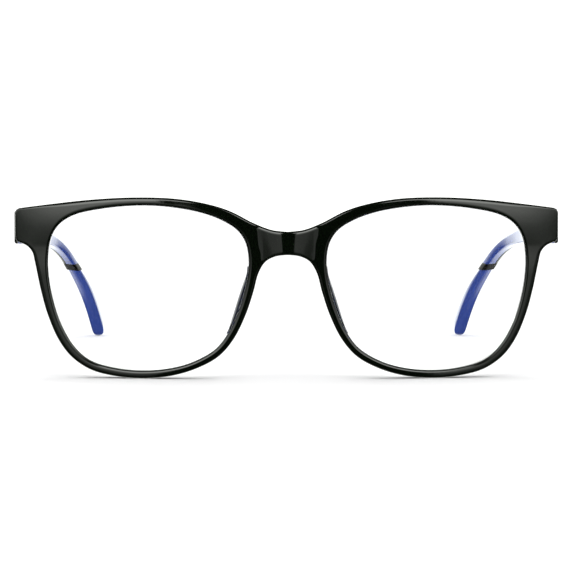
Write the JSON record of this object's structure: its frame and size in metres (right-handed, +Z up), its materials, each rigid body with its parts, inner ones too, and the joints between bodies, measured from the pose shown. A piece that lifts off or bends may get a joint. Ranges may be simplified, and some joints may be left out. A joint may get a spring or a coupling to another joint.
{
  "type": "blue light glasses",
  "caption": "Full-rim plastic spectacles with two clear blue-light lenses and temples that fold on metal hinges.",
  "frame": {"origin": "centre of the footprint, on the surface the glasses stand on", "axes": "+Z up, -Y the way the wearer looks, +X across the front; the YZ plane is the plane of symmetry"},
  "size_m": [0.1418, 0.1498, 0.0462],
  "materials": {
    "gloss_black": "high gloss",
    "blue_plastic": "gloss",
    "lens": "clear, coated",
    "steel": "satin"
  },
  "bodies": {
    "front": {"front_frame": "gloss_black", "lens_left": "lens", "lens_right": "lens", "nose_pad_left": "gloss_black", "nose_pad_right": "gloss_black", "hinge_front_leaf_left": "steel", "hinge_front_leaf_right": "steel", "hinge_screw_left": "steel", "hinge_screw_right": "steel", "rivet_front_left_upper": "steel", "rivet_front_left_lower": "steel", "rivet_front_right_upper": "steel", "rivet_front_right_lower": "steel"},
    "temple_left": {"temple_core_left": "blue_plastic", "temple_cover_left": "gloss_black", "temple_ring_left": "gloss_black", "ear_tip_left": "blue_plastic", "temple_wire_left": "steel", "hinge_temple_leaf_left": "steel", "rivet_temple_left_front": "steel", "rivet_temple_left_rear": "steel"},
    "temple_right": {"temple_core_right": "blue_plastic", "temple_cover_right": "gloss_black", "temple_ring_right": "gloss_black", "ear_tip_right": "blue_plastic", "temple_wire_right": "steel", "hinge_temple_leaf_right": "steel", "rivet_temple_right_front": "steel", "rivet_temple_right_rear": "steel"}
  },
  "joints": [
    {"name": "left_temple_hinge", "type": "hinge", "parent": "front", "child": "temple_left", "pos_m": [-0.0652, -0.05899, 0.0386], "axis": [0, 0, -1], "range_deg": [0, 86]},
    {"name": "right_temple_hinge", "type": "hinge", "parent": "front", "child": "temple_right", "pos_m": [0.0652, -0.05899, 0.0386], "axis": [0, 0, 1], "range_deg": [0, 79]}
  ]
}
